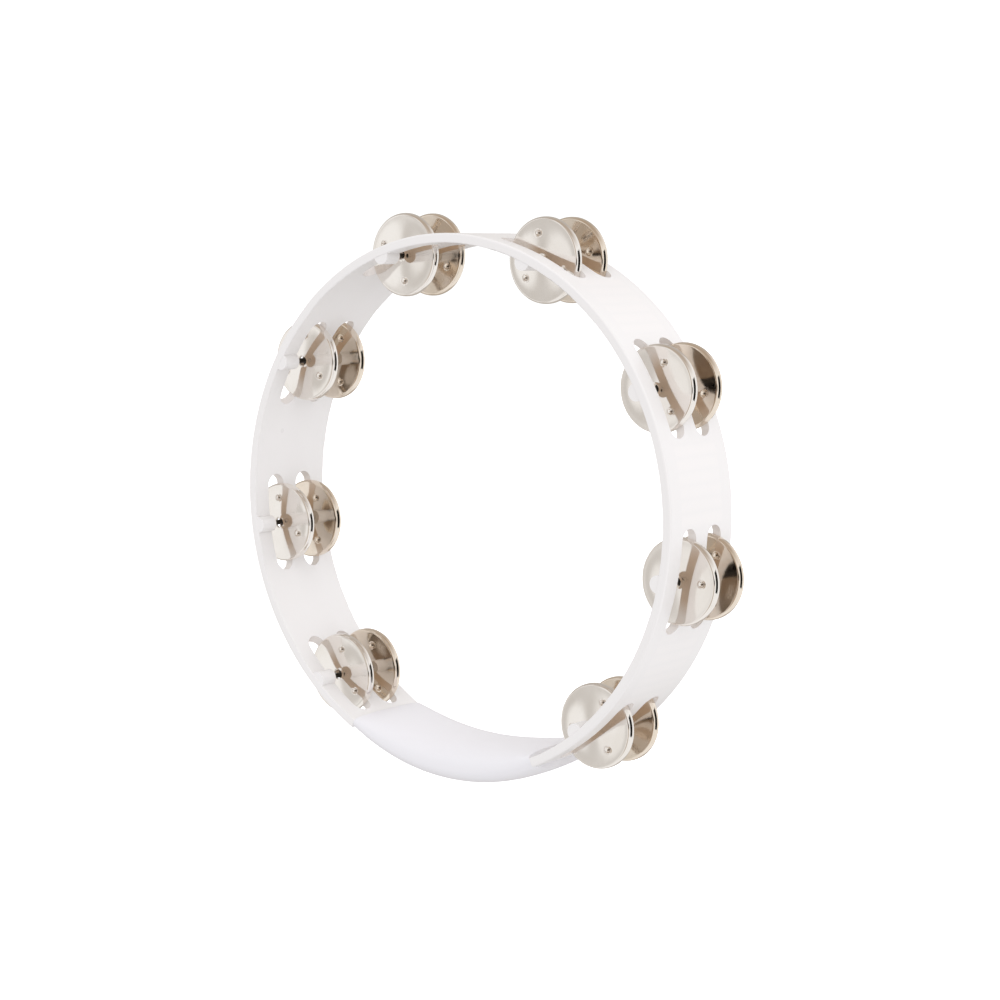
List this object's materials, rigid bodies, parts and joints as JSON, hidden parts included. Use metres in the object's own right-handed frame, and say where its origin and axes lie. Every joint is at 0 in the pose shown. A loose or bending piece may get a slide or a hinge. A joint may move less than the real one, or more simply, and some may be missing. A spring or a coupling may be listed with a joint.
{
  "type": "tambourine",
  "caption": "Round hand tambourine: a white plastic hoop with steel jingles on pins in side-by-side slots, and an oval hand grip.",
  "frame": {"origin": "middle of the hand grip's section, at the bottom of the hoop and halfway between its rims", "axes": "+Y along the hoop's axis from the front rim to the back rim, +Z from the grip up through the hoop's centre, +X to the right seen from the front"},
  "size_m": [0.2804, 0.0498, 0.2681],
  "materials": {
    "hoop_plastic": "gloss, slightly translucent white",
    "grip_plastic": "smooth satin white",
    "jingle_steel": "nickel plated, polished",
    "pin_steel": "bright drawn wire"
  },
  "bodies": {
    "frame": {"hoop_frame": "hoop_plastic", "hand_grip": "grip_plastic", "jingle_pin_1": "pin_steel", "jingle_pin_2": "pin_steel", "jingle_pin_3": "pin_steel", "jingle_pin_4": "pin_steel", "jingle_pin_5": "pin_steel", "jingle_pin_6": "pin_steel", "jingle_pin_7": "pin_steel", "jingle_pin_8": "pin_steel"},
    "front_jingle_1": {"front_jingle_1": "jingle_steel"},
    "front_jingle_2": {"front_jingle_2": "jingle_steel"},
    "front_jingle_3": {"front_jingle_3": "jingle_steel"},
    "front_jingle_4": {"front_jingle_4": "jingle_steel"},
    "front_jingle_5": {"front_jingle_5": "jingle_steel"},
    "front_jingle_6": {"front_jingle_6": "jingle_steel"},
    "front_jingle_7": {"front_jingle_7": "jingle_steel"},
    "front_jingle_8": {"front_jingle_8": "jingle_steel"},
    "back_jingle_1": {"back_jingle_1": "jingle_steel"},
    "back_jingle_2": {"back_jingle_2": "jingle_steel"},
    "back_jingle_3": {"back_jingle_3": "jingle_steel"},
    "back_jingle_4": {"back_jingle_4": "jingle_steel"},
    "back_jingle_5": {"back_jingle_5": "jingle_steel"},
    "back_jingle_6": {"back_jingle_6": "jingle_steel"},
    "back_jingle_7": {"back_jingle_7": "jingle_steel"},
    "back_jingle_8": {"back_jingle_8": "jingle_steel"}
  },
  "joints": [
    {"name": "front_jingle_1_slide", "type": "slide", "parent": "frame", "child": "front_jingle_1", "axis": [0, -1, 0], "range_m": [0, 0.0057]},
    {"name": "front_jingle_2_slide", "type": "slide", "parent": "frame", "child": "front_jingle_2", "axis": [0, -1, 0], "range_m": [0, 0.0057]},
    {"name": "front_jingle_3_slide", "type": "slide", "parent": "frame", "child": "front_jingle_3", "axis": [0, -1, 0], "range_m": [0, 0.0057]},
    {"name": "front_jingle_4_slide", "type": "slide", "parent": "frame", "child": "front_jingle_4", "axis": [0, -1, 0], "range_m": [0, 0.0057]},
    {"name": "front_jingle_5_slide", "type": "slide", "parent": "frame", "child": "front_jingle_5", "axis": [0, -1, 0], "range_m": [0, 0.0057]},
    {"name": "front_jingle_6_slide", "type": "slide", "parent": "frame", "child": "front_jingle_6", "axis": [0, -1, 0], "range_m": [0, 0.0057]},
    {"name": "front_jingle_7_slide", "type": "slide", "parent": "frame", "child": "front_jingle_7", "axis": [0, -1, 0], "range_m": [0, 0.0057]},
    {"name": "front_jingle_8_slide", "type": "slide", "parent": "frame", "child": "front_jingle_8", "axis": [0, -1, 0], "range_m": [0, 0.0057]},
    {"name": "back_jingle_1_slide", "type": "slide", "parent": "frame", "child": "back_jingle_1", "axis": [0, -1, 0], "range_m": [0, 0.0057]},
    {"name": "back_jingle_2_slide", "type": "slide", "parent": "frame", "child": "back_jingle_2", "axis": [0, -1, 0], "range_m": [0, 0.0057]},
    {"name": "back_jingle_3_slide", "type": "slide", "parent": "frame", "child": "back_jingle_3", "axis": [0, -1, 0], "range_m": [0, 0.0057]},
    {"name": "back_jingle_4_slide", "type": "slide", "parent": "frame", "child": "back_jingle_4", "axis": [0, -1, 0], "range_m": [0, 0.0057]},
    {"name": "back_jingle_5_slide", "type": "slide", "parent": "frame", "child": "back_jingle_5", "axis": [0, -1, 0], "range_m": [0, 0.0057]},
    {"name": "back_jingle_6_slide", "type": "slide", "parent": "frame", "child": "back_jingle_6", "axis": [0, -1, 0], "range_m": [0, 0.0057]},
    {"name": "back_jingle_7_slide", "type": "slide", "parent": "frame", "child": "back_jingle_7", "axis": [0, -1, 0], "range_m": [0, 0.0057]},
    {"name": "back_jingle_8_slide", "type": "slide", "parent": "frame", "child": "back_jingle_8", "axis": [0, -1, 0], "range_m": [0, 0.0057]}
  ]
}
